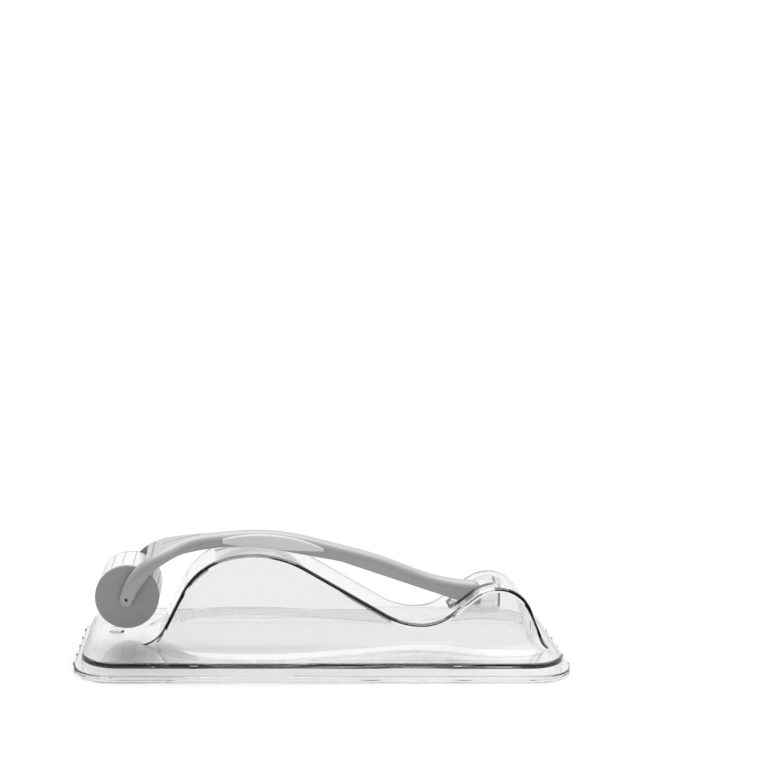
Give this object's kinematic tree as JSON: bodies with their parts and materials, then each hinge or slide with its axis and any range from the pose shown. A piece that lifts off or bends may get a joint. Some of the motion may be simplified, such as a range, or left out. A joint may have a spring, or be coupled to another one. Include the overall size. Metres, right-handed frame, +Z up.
{
  "type": "derma roller",
  "caption": "Handheld skin roller with a needled drum in a forked curved handle, docked in a clear wave-shaped storage stand.",
  "frame": {"origin": "centre of the stand's underside, on the surface that it rests on", "axes": "+X along the handle from the drum to its tail, +Y across, +Z up"},
  "size_m": [0.155, 0.0652, 0.0394],
  "materials": {
    "clear_plastic": "clear, polished",
    "grey_plastic": "satin moulded",
    "disc_plastic": "fine matt",
    "pad_plastic": "soft matt",
    "white_plastic": "smooth",
    "steel": "ground"
  },
  "bodies": {
    "stand": {"storage_stand": "clear_plastic"},
    "roller": {"handle": "grey_plastic", "near_grip_pad": "pad_plastic", "far_grip_pad": "pad_plastic", "axle_pin": "steel"},
    "drum": {"drum_barrel": "white_plastic", "drum_core": "white_plastic", "near_end_disc": "disc_plastic", "far_end_disc": "disc_plastic", "needle_row_01": "steel", "needle_row_02": "steel", "needle_row_03": "steel", "needle_row_04": "steel", "needle_row_05": "steel", "needle_row_06": "steel", "needle_row_07": "steel", "needle_row_08": "steel", "needle_row_09": "steel", "needle_row_10": "steel", "needle_row_11": "steel", "needle_row_12": "steel", "needle_row_13": "steel", "needle_row_14": "steel", "needle_row_15": "steel", "needle_row_16": "steel", "needle_row_17": "steel", "needle_row_18": "steel"}
  },
  "joints": [
    {"name": "roller_lift", "type": "slide", "parent": "stand", "child": "roller", "axis": [0, 0, 1], "range_m": [0, 0.06]},
    {"name": "drum_spin", "type": "hinge", "parent": "roller", "child": "drum", "pos_m": [-0.0618, 0, 0.0202], "axis": [0, 1, 0], "continuous": true}
  ]
}
